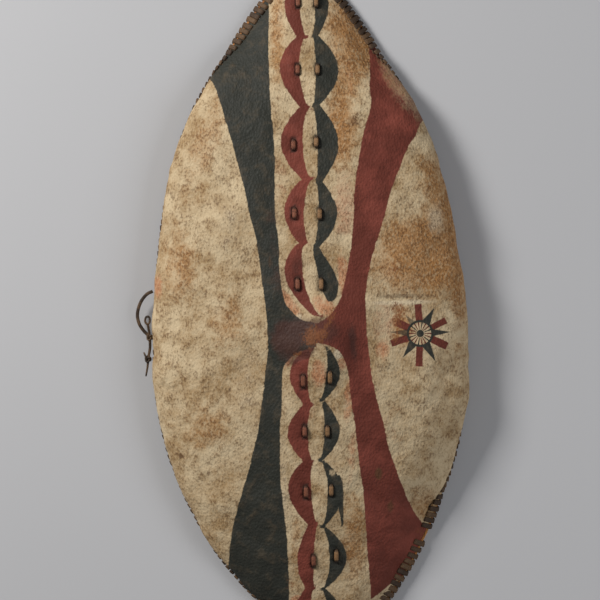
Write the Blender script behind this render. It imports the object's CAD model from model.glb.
"""A painted hide shield: a tall pointed oval of rawhide with a laced rim, a stave lashed down its back
and a carrying thong at its left edge, lying face up on a pale floor.

Every size is in millimetres in the shield's own layout, as its maker would measure it, and is turned to
metres and moved to the frame's place when a mesh is made.
"""

import logging
import math
import random
from dataclasses import dataclass, field
from enum import Enum
from typing import Iterable, Sequence

import bpy
import numpy as np
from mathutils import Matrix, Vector

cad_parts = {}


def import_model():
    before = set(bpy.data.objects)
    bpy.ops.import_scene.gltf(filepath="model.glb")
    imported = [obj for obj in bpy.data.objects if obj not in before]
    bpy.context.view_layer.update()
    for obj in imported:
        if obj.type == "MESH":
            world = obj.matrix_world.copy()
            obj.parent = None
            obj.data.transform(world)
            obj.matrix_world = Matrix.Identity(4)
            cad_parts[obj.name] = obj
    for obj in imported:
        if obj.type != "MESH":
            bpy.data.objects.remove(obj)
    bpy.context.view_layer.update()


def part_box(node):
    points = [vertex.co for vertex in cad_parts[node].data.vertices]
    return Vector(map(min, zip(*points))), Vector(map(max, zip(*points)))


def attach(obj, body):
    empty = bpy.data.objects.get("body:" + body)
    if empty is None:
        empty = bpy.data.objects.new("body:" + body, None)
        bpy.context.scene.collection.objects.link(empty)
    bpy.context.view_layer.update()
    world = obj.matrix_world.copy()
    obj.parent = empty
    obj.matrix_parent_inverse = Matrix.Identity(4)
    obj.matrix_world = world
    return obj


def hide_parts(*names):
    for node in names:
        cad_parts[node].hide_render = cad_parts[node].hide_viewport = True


log = logging.getLogger("hide_shield")

MM = 0.001
BODY = "root"
Colour = tuple[float, float, float, float]
Points = np.ndarray


def tone(red: float, green: float, blue: float) -> Colour:
    """Turns a colour as it looks, 0 to 255, into linear light.

    Args:
        red: The red part.
        green: The green part.
        blue: The blue part.

    Returns:
        The colour with full alpha, as a shader takes it.
    """
    parts = (part / 255 for part in (red, green, blue))
    linear = (part / 12.92 if part <= 0.04045 else ((part + 0.055) / 1.055) ** 2.4 for part in parts)
    return (*linear, 1.0)


def lerp(low: Points | float, high: Points | float, share: Points | float) -> Points | float:
    """The value that lies a share of the way from low to high."""
    return low + (high - low) * share


def ease(value: Points | float, low: float, high: float) -> Points:
    """Rises smoothly from 0 at low to 1 at high; high may be the smaller."""
    share = np.clip((value - low) / (high - low), 0.0, 1.0)
    return share * share * (3.0 - 2.0 * share)


def unit(vectors: Points) -> Points:
    """The vectors, each made one long."""
    return vectors / np.maximum(np.linalg.norm(vectors, axis=-1, keepdims=True), 1e-9)


def smooth_run(corners: Sequence[Sequence[float]], steps: int, closed: bool = False) -> Points:
    """Draws a smooth curve through a run of points.

    Args:
        corners: The points that the curve passes through, in two or three dimensions.
        steps: How many pieces each leg is cut into.
        closed: Whether the curve comes back to its first point.

    Returns:
        The points along the curve.
    """
    knots = np.asarray(corners, float)
    count = len(knots)
    legs = count if closed else count - 1
    share = np.linspace(0.0, 1.0, steps, endpoint=False)[:, None]
    run = []
    for leg in range(legs):
        if closed:
            before, start, end, after = (knots[(leg + k) % count] for k in (-1, 0, 1, 2))
        else:
            start, end = knots[leg], knots[leg + 1]
            before = knots[leg - 1] if leg else 2 * start - end
            after = knots[leg + 2] if leg + 2 < count else 2 * end - start
        run.append(
            0.5
            * (
                2 * start
                + (end - before) * share
                + (2 * before - 5 * start + 4 * end - after) * share**2
                + (3 * start - before - 3 * end + after) * share**3
            )
        )
    if not closed:
        run.append(knots[-1:])
    return np.concatenate(run)


class Ripple:
    """A gentle wandering height over the plan, made of many small waves in chance directions."""

    def __init__(self, seed: int, length: float, spread: float = 0.5, waves: int = 26) -> None:
        """Draws the waves.

        Args:
            seed: The seed of the chance numbers.
            length: The waves' middle length in millimetres.
            spread: How far the lengths spread round it, as a share.
            waves: How many waves there are.
        """
        chance = np.random.default_rng(seed)
        lengths = length * (1 + spread * chance.uniform(-1, 1, waves))
        angles = chance.uniform(0, 2 * math.pi, waves)
        self.along = np.stack([np.cos(angles), np.sin(angles)]) * 2 * math.pi / lengths
        self.start = chance.uniform(0, 2 * math.pi, waves)
        self.size = math.sqrt(2 / waves)

    def at(self, x: Points, y: Points) -> Points:
        """The height at places in plan, mostly between -1 and 1."""
        total = np.zeros(np.broadcast(x, y).shape)
        for along_x, along_y, start in zip(*self.along, self.start):
            total += np.sin(x * along_x + y * along_y + start)
        return total * self.size


# ---------------------------------------------------------------- the hide's form


@dataclass(frozen=True)
class Shoulder:
    """The swelling of one flank at its shoulder."""

    y: float
    out: float
    spread: float


@dataclass(frozen=True)
class Roll:
    """How one flank's edge is rolled under, and over which heights."""

    angle: float
    full: tuple[float, float]
    none: tuple[float, float]


@dataclass(frozen=True)
class Flank:
    """One side of the hide, from the line between the tips to its edge."""

    sign: int
    reach: float
    widest_y: float
    top_power: float
    low_power: float
    shoulder: Shoulder
    roll: Roll


@dataclass(frozen=True)
class Boss:
    """The hump that makes room for the hand."""

    x: float = 17.0
    y: float = -42.0
    high: float = 20.0
    half_width: float = 44.0
    half_length: float = 56.0


@dataclass(frozen=True)
class HideForm:
    """The form of the hide: its outline, its dome, its boss and its rolled edges."""

    top_tip: tuple[float, float] = (-12.0, 508.0)
    low_tip: tuple[float, float] = (17.0, -502.0)
    left: Flank = Flank(-1, 234.5, -87.0, 0.795, 0.825, Shoulder(239.0, 11.7, 150.0),
                        Roll(40.0, (-340.0, 280.0), (-460.0, 400.0)))
    right: Flank = Flank(1, 221.0, -52.0, 0.832, 0.718, Shoulder(244.0, 8.2, 82.0),
                         Roll(49.0, (-110.0, 280.0), (-330.0, 400.0)))
    boss: Boss = Boss()
    thickness: float = 4.4
    edge_height: float = 10.5
    crest_rise: float = 82.0
    crest_power: float = 2.2
    roll_radius: float = 30.0
    roll_part: float = 0.17
    flank_power: float = 0.9
    flat_power: float = 1.9
    crown_power: float = 0.9
    lacing_reach: float = 9.0
    narrow: float = 55.0
    tip_taper: float = 16.0

    def axis_x(self, y: Points | float) -> Points | float:
        """Where the line between the tips runs at a height up the shield."""
        (top_x, top_y), (low_x, low_y) = self.top_tip, self.low_tip
        return lerp(low_x, top_x, (y - low_y) / (top_y - low_y))

    def half_width(self, flank: Flank, y: Points | float) -> Points:
        """A flank's reach from the line between the tips at a height up the shield."""
        y = np.asarray(y, float)
        upper = y > flank.widest_y
        span = np.where(upper, self.top_tip[1] - flank.widest_y, flank.widest_y - self.low_tip[1])
        share = np.minimum(np.abs(y - flank.widest_y) / span, 1.0)
        bow = flank.reach * (1 - share**2) ** np.where(upper, flank.top_power, flank.low_power)
        shoulder = flank.shoulder.out * np.exp(-(((y - flank.shoulder.y) / flank.shoulder.spread) ** 2))
        return bow + shoulder * np.minimum(1.0, bow / self.narrow)

    def crest(self, y: Points | float) -> Points | float:
        """The height of the dome's middle line."""
        middle = (self.top_tip[1] + self.low_tip[1]) / 2
        half = (self.top_tip[1] - self.low_tip[1]) / 2
        share = np.minimum(np.abs((y - middle) / half), 1.0)
        return self.edge_height + self.crest_rise * (1 - share**self.crest_power)

    def boss_rise(self, x: Points | float, y: Points | float) -> Points:
        """How much the boss adds to the height at a place in plan."""
        across = (x - self.boss.x) / self.boss.half_width
        up = (y - self.boss.y) / self.boss.half_length
        return self.boss.high * np.exp(-(across**2) - up**2)

    def section(self, flank: Flank, y: Points | float) -> dict[str, Points]:
        """Works out what a flank's section is made from.

        Args:
            flank: The left or the right flank.
            y: Heights up the shield.

        Returns:
            The width, the roll in radians, the widest line's height, the dome over it, the share of the
            full roll, the dome's power, and the share of the section that isn't rolled.
        """
        roll = flank.roll
        share = ease(y, roll.none[0], roll.full[0]) * (1 - ease(y, roll.full[1], roll.none[1]))
        turn = math.radians(roll.angle) * share
        widest_z = self.edge_height + self.roll_radius * np.sin(turn)
        width = self.half_width(flank, y)
        room = self.lacing_reach * (1 - share) * np.minimum(1.0, width / self.narrow)
        return {
            "width": width - room,
            "turn": turn,
            "widest_z": widest_z,
            "dome": self.crest(y) - widest_z,
            "share": share,
            "power": lerp(self.flat_power, self.flank_power, share) / 2,
            "edge": 1 - self.roll_part * share,
        }

    def _flank_front(self, flank: Flank, y: Points, across: Points) -> Points:
        """The front of one flank, from 0 on the middle line to 1 at the edge."""
        form = self.section(flank, y)
        turn = form["turn"] * np.clip((across - form["edge"]) / np.maximum(1 - form["edge"], 1e-6), 0, 1)
        rolled = across > form["edge"]
        even = np.minimum(across / form["edge"], 1.0)
        reach = lerp(even, np.sin(even * math.pi / 2), form["share"])
        dome_x = form["width"] * reach**self.crown_power
        dome_z = form["widest_z"] + form["dome"] * (1 - reach**2) ** form["power"]
        rolled_x = form["width"] - self.roll_radius * (1 - np.cos(turn))
        rolled_z = form["widest_z"] - self.roll_radius * np.sin(turn)
        x = self.axis_x(y) + flank.sign * np.where(rolled, rolled_x, dome_x)
        z = np.where(rolled, rolled_z, dome_z + self.boss_rise(x, y))
        return np.stack([x, self.real_y(y), z], axis=-1)

    def real_y(self, y: Points) -> Points:
        """Draws the last rows before each tip together, to leave the lacing its room past the tip."""
        squeeze = 1 - self.lacing_reach / self.tip_taper
        top = self.top_tip[1] - self.tip_taper
        low = self.low_tip[1] + self.tip_taper
        y = np.where(y > top, top + (y - top) * squeeze, y)
        return np.where(y < low, low + (y - low) * squeeze, y)

    def front(self, y: Points, v: Points) -> Points:
        """The front surface, where v runs across the hide from -1 to 1."""
        left = self._flank_front(self.left, y, np.abs(v))
        right = self._flank_front(self.right, y, np.abs(v))
        return np.where((v < 0)[..., None], left, right)

    def height(self, x: Points | float, y: Points | float, with_boss: bool = True) -> Points:
        """The front surface's height over a place in plan, inside its widest line."""
        x, y = np.broadcast_arrays(np.asarray(x, float), np.asarray(y, float))
        heights = []
        for flank in (self.left, self.right):
            form = self.section(flank, y)
            across = np.abs(x - self.axis_x(y)) / np.maximum(form["width"], 1e-6)
            reach = np.minimum(across, 1.0) ** (1 / self.crown_power)
            heights.append(form["widest_z"] + form["dome"] * (1 - reach**2) ** form["power"])
        height = np.where(x < self.axis_x(y), *heights)
        return height + (self.boss_rise(x, y) if with_boss else 0.0)

    def back_height(self, x: float, y: float) -> float:
        """The back surface's height over a place in plan, leaving the boss out."""
        here = self.height(x, y, False)
        slope_x = self.height(x + 1, y, False) - here
        slope_y = self.height(x, y + 1, False) - here
        return float(here - self.thickness * np.sqrt(1 + slope_x**2 + slope_y**2))


@dataclass(frozen=True)
class Bench:
    """Where the shield's own layout lies in the frame, and how a mesh is put there."""

    shift: Points

    @classmethod
    def from_frame(cls, form: HideForm) -> "Bench":
        """Sets the layout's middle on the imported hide's middle.

        Args:
            form: The hide's form in its own layout.

        Returns:
            The bench, with the way from the layout to the frame in millimetres.
        """
        y, v = np.meshgrid(np.linspace(form.low_tip[1], form.top_tip[1], 401), np.linspace(-1, 1, 121))
        face = form.front(y, v).reshape(-1, 3)
        low, high = (np.array(corner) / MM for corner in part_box("hide_panel"))
        middle = (low + high) / 2 - (face.min(0) + face.max(0)) / 2
        top = high[2] - face[:, 2].max()
        return cls(np.array([middle[0], middle[1], top]))

    def place(self, points: Points) -> Points:
        """Turns layout points in millimetres into frame points in metres."""
        return (np.asarray(points, float) + self.shift) * MM

    def make(self, name: str, points: Points, faces: Iterable[Sequence[int]],
             smooth: bool = True) -> bpy.types.Object:
        """Makes a mesh object from layout points.

        Args:
            name: The piece's name.
            points: Its corners in millimetres.
            faces: Its faces, as runs of corner numbers.
            smooth: Whether its faces are shaded as one smooth skin.

        Returns:
            The new object, in the scene.
        """
        mesh = bpy.data.meshes.new(name)
        mesh.from_pydata(self.place(points).tolist(), [], [list(map(int, face)) for face in faces])
        mesh.validate()
        mesh.update()
        mesh.shade_smooth() if smooth else mesh.shade_flat()
        piece = bpy.data.objects.new(name, mesh)
        bpy.context.scene.collection.objects.link(piece)
        return piece


def mark(piece: bpy.types.Object, name: str, values: Points) -> None:
    """Stores one number for each corner of a piece, for its finish to read."""
    layer = piece.data.attributes.new(name, "FLOAT", "POINT")
    layer.data.foreach_set("value", np.asarray(values, np.float32).ravel())


def settle(piece: bpy.types.Object, nodes: Sequence[str],
           finish: bpy.types.Material | None = None) -> None:
    """Puts a piece on the shield.

    Args:
        piece: The piece, in place.
        nodes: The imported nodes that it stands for.
        finish: Its finish, unless it has finishes of its own.
    """
    if not piece.data.materials:
        piece.data.materials.append(finish)
    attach(piece, BODY)
    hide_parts(*nodes)
    log.info("%s: %d corners", piece.name, len(piece.data.vertices))


# ---------------------------------------------------------------- strips and tubes


def ring_faces(rings: int, size: int, closed: bool, first: int = 0) -> list[list[int]]:
    """Joins rings of corners into a skin.

    Args:
        rings: How many rings there are.
        size: How many corners a ring has.
        closed: Whether the last ring joins the first; otherwise both ends are capped.
        first: The number of the first corner.

    Returns:
        The faces.
    """
    faces = []
    for i in range(rings if closed else rings - 1):
        for k in range(size):
            after = (k + 1) % size
            near, far = first + i * size, first + ((i + 1) % rings) * size
            faces.append([near + k, near + after, far + after, far + k])
    if not closed:
        last = first + (rings - 1) * size
        faces.append([first + k for k in reversed(range(size))])
        faces.append([last + k for k in range(size)])
    return faces


def oval(width: float, thick: float, sides: int, square: float = 2.6) -> Points:
    """The section of a cut thong: an oval with full corners."""
    angle = (np.arange(sides) + 0.5) * 2 * math.pi / sides
    across, up = np.cos(angle), np.sin(angle)
    power = 2 / square
    return np.stack([
        width / 2 * np.sign(across) * np.abs(across) ** power,
        thick / 2 * np.sign(up) * np.abs(up) ** power,
    ], axis=-1)


def sweep(path: Points, section: Points, side: Sequence[float], closed: bool = False,
          swell: Points | None = None) -> tuple[Points, list[list[int]]]:
    """Draws a section along a path, turning with it and never twisting.

    Args:
        path: The points that the middle of the section passes through.
        section: The section, as steps to the side and up.
        side: Which way the section's first axis points at the start.
        closed: Whether the path comes back to its start.
        swell: How much larger the section is at each point.

    Returns:
        The corners and the faces.
    """
    count = len(path)
    along = unit(np.roll(path, -1, 0) - np.roll(path, 1, 0))
    if not closed:
        along[0], along[-1] = unit(path[1] - path[0]), unit(path[-1] - path[-2])
    sides = [unit(np.asarray(side, float) - np.dot(side, along[0]) * along[0])]
    for i in range(1, count):
        carried = sides[-1] - np.dot(sides[-1], along[i]) * along[i]
        sides.append(unit(carried))
    sides = np.array(sides)
    if closed:
        home = unit(sides[-1] - np.dot(sides[-1], along[0]) * along[0])
        left = math.atan2(np.dot(np.cross(home, sides[0]), along[0]), np.dot(home, sides[0]))
        turn = (left * np.arange(count) / count)[:, None]
        sides = sides * np.cos(turn) + np.cross(along, sides) * np.sin(turn)
    ups = np.cross(along, sides)
    size = np.ones(count) if swell is None else swell
    steps = section[None] * size[:, None, None]
    rings = path[:, None] + sides[:, None] * steps[..., :1] + ups[:, None] * steps[..., 1:]
    return rings.reshape(-1, 3), ring_faces(count, len(section), closed)


def join(parts: Iterable[tuple[Points, list[list[int]]]]) -> tuple[Points, list[list[int]]]:
    """Puts several closed skins into one mesh."""
    points, faces, first = [], [], 0
    for corners, sheets in parts:
        points.append(corners)
        faces.extend([[first + corner for corner in sheet] for sheet in sheets])
        first += len(corners)
    return np.concatenate(points), faces


# ---------------------------------------------------------------- shader maths


class Wire:
    """A value, colour or vector running between the nodes of a finish."""

    def __init__(self, pot: "Pot", socket: bpy.types.NodeSocket) -> None:
        """Wraps a node's output."""
        self.pot = pot
        self.socket = socket

    def _math(self, operation: str, first: "Wire | float", second: "Wire | float" = 0.0) -> "Wire":
        """Adds one Math node."""
        return self.pot.node("ShaderNodeMath", {"operation": operation}, {0: first, 1: second})

    def __add__(self, other: "Wire | float") -> "Wire":
        """This plus another."""
        return self._math("ADD", self, other)

    def __radd__(self, other: float) -> "Wire":
        """A number plus this."""
        return self._math("ADD", other, self)

    def __sub__(self, other: "Wire | float") -> "Wire":
        """This less another."""
        return self._math("SUBTRACT", self, other)

    def __rsub__(self, other: float) -> "Wire":
        """A number less this."""
        return self._math("SUBTRACT", other, self)

    def __mul__(self, other: "Wire | float") -> "Wire":
        """This times another."""
        return self._math("MULTIPLY", self, other)

    def __rmul__(self, other: float) -> "Wire":
        """A number times this."""
        return self._math("MULTIPLY", other, self)

    def __truediv__(self, other: "Wire | float") -> "Wire":
        """This over another."""
        return self._math("DIVIDE", self, other)

    def __pow__(self, other: float) -> "Wire":
        """This to a power."""
        return self._math("POWER", self, other)

    def __abs__(self) -> "Wire":
        """This without its sign."""
        return self._math("ABSOLUTE", self)

    def least(self, other: "Wire | float") -> "Wire":
        """The smaller of this and another."""
        return self._math("MINIMUM", self, other)

    def most(self, other: "Wire | float") -> "Wire":
        """The larger of this and another."""
        return self._math("MAXIMUM", self, other)

    def ease(self, low: float, high: float, start: float = 0.0, end: float = 1.0) -> "Wire":
        """Moves smoothly from start to end as this goes from low to high."""
        falling = high < low
        ends = {3: end, 4: start} if falling else {3: start, 4: end}
        settings = {"interpolation_type": "SMOOTHSTEP"}
        spans = {1: min(low, high), 2: max(low, high)}
        return self.pot.node("ShaderNodeMapRange", settings, {0: self, **spans, **ends})


class Pot:
    """One finish being mixed: a material's node tree with short ways to add to it."""

    def __init__(self, name: str) -> None:
        """Starts an empty material."""
        self.material = bpy.data.materials.new(name)
        self.material.use_nodes = True
        self.tree = self.material.node_tree
        self.tree.nodes.clear()
        self._where: Wire | None = None

    def node(self, kind: str, settings: dict[str, object], inputs: dict[object, object],
             output: int | str = 0) -> Wire:
        """Adds a node.

        Args:
            kind: The node's type.
            settings: Its settings, which are set first; "stops" are a colour ramp's stops.
            inputs: The values or wires of its sockets.
            output: Which of its outputs is wanted.

        Returns:
            That output.
        """
        made = self.tree.nodes.new(kind)
        for name, value in settings.items():
            if name == "stops":
                self._set_stops(made.color_ramp, value)
            else:
                setattr(made, name, value)
        for name, value in inputs.items():
            if isinstance(value, Wire):
                self.tree.links.new(value.socket, made.inputs[name])
            else:
                made.inputs[name].default_value = value
        return Wire(self, made.outputs[output])

    @staticmethod
    def _set_stops(ramp: bpy.types.ColorRamp, stops: Sequence[tuple[float, Colour]]) -> None:
        """Gives a colour ramp its stops."""
        while len(ramp.elements) < len(stops):
            ramp.elements.new(1.0)
        for element, (place, colour) in zip(ramp.elements, stops):
            element.position = place
            element.color = colour

    @property
    def where(self) -> Wire:
        """The place on the piece, in millimetres in the frame."""
        if self._where is None:
            place = self.node("ShaderNodeTexCoord", {}, {}, "Object")
            self._where = self.vector("SCALE", place, scale=1 / MM)
        return self._where

    def vector(self, operation: str, first: Wire, second: object = (0.0, 0.0, 0.0),
               scale: float = 1.0) -> Wire:
        """Adds one Vector Math node."""
        inputs = {0: first, 3: scale} if operation == "SCALE" else {0: first, 1: second}
        output = 1 if operation in ("LENGTH", "DISTANCE", "DOT_PRODUCT") else 0
        return self.node("ShaderNodeVectorMath", {"operation": operation}, inputs, output)

    def parts(self, vector: Wire) -> tuple[Wire, Wire, Wire]:
        """A vector's three parts."""
        split = self.node("ShaderNodeSeparateXYZ", {}, {0: vector})
        outputs = split.socket.node.outputs
        return Wire(self, outputs[0]), Wire(self, outputs[1]), Wire(self, outputs[2])

    def noise(self, length: float, detail: float = 2.0, rough: float = 0.5,
              stretch: Sequence[float] = (1, 1, 1), warp: float = 0.0) -> Wire:
        """Adds soft noise.

        Args:
            length: The size of its lumps in millimetres.
            detail: How many finer layers it has.
            rough: How strong they are.
            stretch: How much longer its lumps are along each axis.
            warp: How much it is twisted.

        Returns:
            A value about 0.5, mostly from 0.3 to 0.7.
        """
        scaled = self.vector("MULTIPLY", self.where, tuple(1 / (length * part) for part in stretch))
        inputs = {"Vector": scaled, "Scale": 1.0, "Detail": detail, "Roughness": rough, "Distortion": warp}
        return self.node("ShaderNodeTexNoise", {}, inputs, "Fac")

    def pits(self, length: float, stretch: Sequence[float] = (1, 1, 1)) -> Wire:
        """Adds cells: 0 in the middle of each and larger towards its edge."""
        scaled = self.vector("MULTIPLY", self.where, tuple(1 / (length * part) for part in stretch))
        return self.node("ShaderNodeTexVoronoi", {}, {"Vector": scaled, "Scale": 1.0}, "Distance")

    def mark(self, name: str) -> Wire:
        """Reads what was stored for each corner under a name."""
        return self.node("ShaderNodeAttribute", {"attribute_name": name}, {}, "Fac")

    def blend(self, share: Wire | float, under: object, over: object, way: str = "MIX") -> Wire:
        """Lays one colour over another by a share."""
        settings = {"data_type": "RGBA", "blend_type": way}
        return self.node("ShaderNodeMix", settings, {0: share, 6: under, 7: over}, 2)

    def bump(self, height: Wire, strength: float, depth: float, after: Wire | None = None) -> Wire:
        """Raises the surface by a height, in millimetres of depth."""
        inputs = {"Height": height, "Strength": strength, "Distance": depth * MM}
        if after:
            inputs["Normal"] = after
        return self.node("ShaderNodeBump", {}, inputs)

    def fill(self, colour: object, roughness: object, normal: Wire | None = None,
             **sheen: object) -> bpy.types.Material:
        """Ends the finish in one Principled shader.

        Args:
            colour: The base colour.
            roughness: The roughness.
            normal: The bumped normal, if there is one.
            sheen: Any other of the shader's sockets, with underscores for spaces.

        Returns:
            The finished material.
        """
        inputs = {"Base Color": colour, "Roughness": roughness}
        inputs.update({name.replace("_", " "): value for name, value in sheen.items()})
        if normal:
            inputs["Normal"] = normal
        shader = self.node("ShaderNodeBsdfPrincipled", {}, inputs)
        self.node_output(shader)
        return self.material

    def node_output(self, shader: Wire) -> None:
        """Wires the shader to the material's output."""
        output = self.tree.nodes.new("ShaderNodeOutputMaterial")
        self.tree.links.new(shader.socket, output.inputs["Surface"])


# ---------------------------------------------------------------- the painted bands


def signed_distance(x: Points, y: Points, outline: Points) -> Points:
    """How far places lie inside an outline, less than 0 outside it.

    Args:
        x: The places across.
        y: The places up.
        outline: The corners of a closed outline.

    Returns:
        The distance at each place.
    """
    nearest = np.full(x.shape, np.inf)
    inside = np.zeros(x.shape, bool)
    for (ax, ay), (bx, by) in zip(outline, np.roll(outline, -1, 0)):
        dx, dy = bx - ax, by - ay
        length = max(dx * dx + dy * dy, 1e-9)
        share = np.clip(((x - ax) * dx + (y - ay) * dy) / length, 0, 1)
        nearest = np.minimum(nearest, (x - ax - share * dx) ** 2 + (y - ay - share * dy) ** 2)
        if ay != by:
            crossed = ((ay > y) != (by > y)) & (x < dx * (y - ay) / (by - ay) + ax)
            inside ^= crossed
    return np.where(inside, 1.0, -1.0) * np.sqrt(nearest)


@dataclass(frozen=True)
class Band:
    """A broad band brushed from the top edge through the waist to the lower edge."""

    outer: tuple[tuple[float, float], ...]
    inner: tuple[tuple[float, float], ...]
    beyond: tuple[tuple[float, float], ...]

    def distance(self, x: Points, y: Points) -> Points:
        """How far places lie inside the band."""
        outline = np.concatenate([
            smooth_run(self.outer, 6), smooth_run(self.inner, 6), np.asarray(self.beyond, float),
        ])
        return signed_distance(x, y, outline)


@dataclass(frozen=True)
class Scallops:
    """A run of crescents brushed one under the other, pinched where they meet."""

    pinches: tuple[tuple[float, float], ...]
    bellies: tuple[tuple[float, float, float], ...]
    stroke: float
    side: int
    outer_power: float = 0.9
    inner_power: float = 0.42
    overlap: float = 0.03

    def distance(self, x: Points, y: Points) -> Points:
        """How far places lie inside the nearest crescent."""
        nearest = np.full(x.shape, -1e3)
        for (start, end), belly in zip(zip(self.pinches, self.pinches[1:]), self.bellies):
            nearest = np.maximum(nearest, signed_distance(x, y, self.crescent(start, end, belly)))
        return nearest

    def crescent(self, start: Sequence[float], end: Sequence[float], belly: Sequence[float]) -> Points:
        """Draws one crescent.

        Args:
            start: Where it starts.
            end: Where it ends, lower down.
            belly: How far out its outer and inner edges reach, and how far down it is widest, as a share.

        Returns:
            Its outline.
        """
        outer_x, inner_x, widest = belly
        down = np.linspace(0, 1, 19)
        bow = np.sin(math.pi * down ** (math.log(0.5) / math.log(widest))).clip(0)
        down = lerp(-self.overlap, 1 + self.overlap, down)
        line_x = lerp(start[0], end[0], down)
        line_y = lerp(start[1], end[1], down)
        middle_x = lerp(start[0], end[0], widest)
        outer_edge = middle_x + self.side * self.stroke / 2
        inner_edge = middle_x - self.side * self.stroke / 2
        outer = line_x + self.side * self.stroke / 2 + (outer_x - outer_edge) * bow**self.outer_power
        inner = line_x - self.side * self.stroke / 2 + (inner_x - inner_edge) * bow**self.inner_power
        outer_run = np.stack([outer, line_y], -1)
        inner_run = np.stack([inner, line_y], -1)[::-1]
        return np.concatenate([outer_run, inner_run])


BLACK_BAND = Band(
    outer=((-230, 352), (-170, 340), (-144, 325.5), (-124, 266), (-102, 189), (-90.6, 137), (-79.8, 93.5),
           (-71.8, 35.5), (-66, -11), (-64, -59), (-70.3, -115), (-76, -162), (-87, -212), (-98, -253),
           (-107.4, -286), (-115.3, -318), (-121, -365), (-124, -420)),
    inner=((-33, -470), (-34, -398), (-36.3, -336), (-40, -299), (-45.7, -243), (-46.4, -169), (-44, -137),
           (-42.8, -90.6), (-33, -72), (-22.5, -64.5), (-9.4, -58.7), (5, -54), (4, -40), (2.5, -21),
           (-15, -16), (-28, -6), (-40, 11), (-47, 51.5), (-48.6, 101), (-53.8, 137), (-54.4, 230),
           (-60, 291), (-63, 365), (-63, 428), (-64, 470)),
    beyond=((-230, 470),),
)

RED_BAND = Band(
    outer=((230, 273), (190, 274), (158.5, 270), (147, 246), (136, 230), (125.4, 202), (113.8, 175),
           (104.8, 141), (95.7, 109.5), (84.5, 73), (77, 35.5), (75.3, 2), (78.2, -44), (82.7, -82),
           (88.3, -118), (99.3, -156), (106.6, -191), (113.4, -212), (128.3, -253), (142.8, -286),
           (163, -314), (190, -340)),
    inner=((84, -420), (83, -394), (78.3, -346), (76, -308), (71, -253), (65.4, -215), (60.8, -169), (55, -133),
           (52.3, -104), (47, -77.6), (37, -60), (21, -51.5), (3, -48), (4, -36), (3, -20), (9.4, -19.6),
           (25.4, -8), (40, 17), (49.4, 57), (55, 90.6), (58.7, 137), (60.2, 175), (67, 221), (73.2, 253),
           (83.4, 291), (82, 318), (82, 373), (77.6, 389), (57, 430), (40, 470)),
    beyond=((230, 470),),
)

RED_SCALLOPS = (
    Scallops(
        pinches=((-11.6, 483.6), (-11.2, 390.3), (-7.1, 287.8), (-4.9, 184.9), (-8.8, 92.8), (8, -8)),
        bellies=((-40.6, -18.1, 0.5), (-47.1, -18.9, 0.46), (-45.7, -14.1, 0.49), (-40.3, -12.3, 0.49),
                 (-39.9, -13.8, 0.45)),
        stroke=15.5, side=-1,
    ),
    Scallops(
        pinches=((-2.2, -57.3), (-3.2, -136.3), (-3, -218.2), (1.5, -308.1), (-1.5, -401.7), (-0.7, -495)),
        bellies=((-32.6, -7.3, 0.47), (-36.1, -7.3, 0.5), (-35.1, -2.2, 0.46), (-22.2, 1.5, 0.55),
                 (-28.3, -3.6, 0.5)),
        stroke=14.0, side=-1,
    ),
)

BLACK_SCALLOPS = (
    Scallops(
        pinches=((1.2, 483.6), (1.6, 391.8), (2.5, 291), (7.3, 182), (4.1, 89.2), (25.4, 12.3)),
        bellies=((23.2, 3.6, 0.5), (37, 4.4, 0.5), (37, 6.5, 0.49), (35, 7.7, 0.52), (35.2, 9.1, 0.62)),
        stroke=7.5, side=1,
    ),
    Scallops(
        pinches=((18.1, -55.8), (9.9, -130.5), (8.4, -216.5), (10.7, -311.8), (11.6, -403.1), (12.3, -495)),
        bellies=((38.7, 19.6, 0.53), (38.7, 17.1, 0.52), (43.5, 21.5, 0.47), (49, 24.1, 0.5),
             (47.1, 22.5, 0.5)),
        stroke=7.0, side=1,
    ),
)


# ---------------------------------------------------------------- finishes


@dataclass(frozen=True)
class RosetteRay:
    """One ray of the painted rosette: its bearing, how far it reaches and its half width."""

    bearing: float
    reach: float
    half_width: float
    worn: float = 0.0


@dataclass(frozen=True)
class Rosette:
    """The painted rosette on the right flank: a hub, a ring of short strokes, a ring and twelve rays."""

    x: float = 153.4
    y: float = -35.5
    hub: float = 5.3
    ring: float = 17.6
    ring_width: float = 1.6
    bars: tuple[RosetteRay, ...] = (
        RosetteRay(94, 42, 5.3), RosetteRay(27, 42, 4.6), RosetteRay(-25, 43, 5.6), RosetteRay(-92, 47, 5.2),
        RosetteRay(199, 44, 5.2), RosetteRay(154, 38, 5.6),
    )
    spikes: tuple[RosetteRay, ...] = (
        RosetteRay(61, 41, 6.2), RosetteRay(3, 43, 4.8), RosetteRay(-61, 45, 6.4), RosetteRay(-126, 42, 6.0),
        RosetteRay(177, 44, 4.8, 0.25), RosetteRay(128, 34, 4.2, 0.35),
    )


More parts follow.
